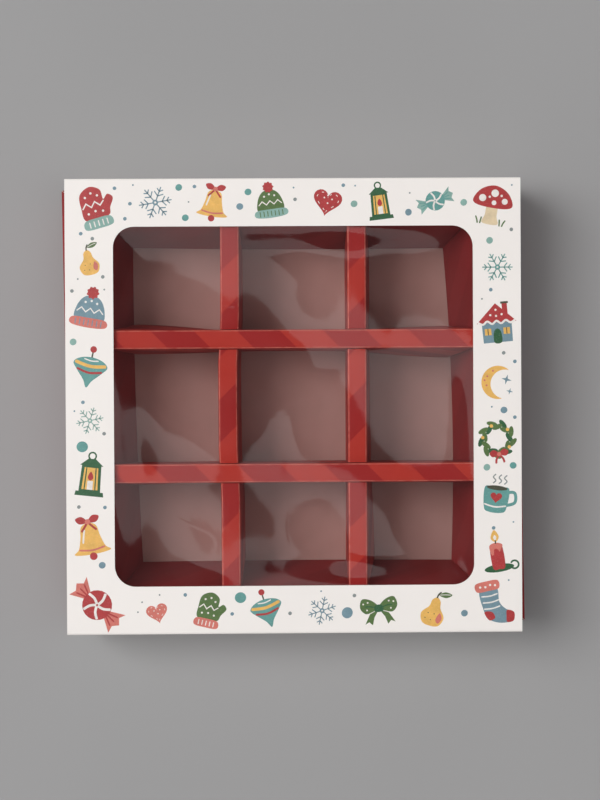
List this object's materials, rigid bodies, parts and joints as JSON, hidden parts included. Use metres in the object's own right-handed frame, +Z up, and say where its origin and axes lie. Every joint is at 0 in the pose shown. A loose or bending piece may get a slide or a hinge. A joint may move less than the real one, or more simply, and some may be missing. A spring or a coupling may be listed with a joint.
{
  "type": "sweet box",
  "caption": "Square sleeve box of printed board with a clear window, and a sliding roll-over tray divided into cells by interlocking folded strips.",
  "frame": {"origin": "middle of the sleeve's underside", "axes": "+X is the way the tray slides, towards the sleeve's right open end; +Y towards the sleeve's back side panel; +Z up through the window"},
  "size_m": [0.1542, 0.152, 0.035],
  "materials": {
    "printed_sleeve_board": "satin coated white board with a printed pattern outside",
    "clear_film": "clear glossy film, a little wavy",
    "glue": "dried clear glue",
    "printed_tray_board": "red striped print on one side, bare grey board on the other",
    "striped_divider_board": "red striped print"
  },
  "bodies": {
    "sleeve": {"sleeve": "printed_sleeve_board", "sleeve_seam_glue": "glue", "window_film": "clear_film", "film_glue": "glue"},
    "tray": {"tray": "printed_tray_board", "tray_corner_glue": "glue", "row_divider_back": "striped_divider_board", "row_divider_front": "striped_divider_board", "column_divider_left": "striped_divider_board", "column_divider_right": "striped_divider_board"}
  },
  "joints": [
    {"name": "tray_slide", "type": "slide", "parent": "sleeve", "child": "tray", "axis": [1, 0, 0], "range_m": [-0.16, 0.16]}
  ]
}
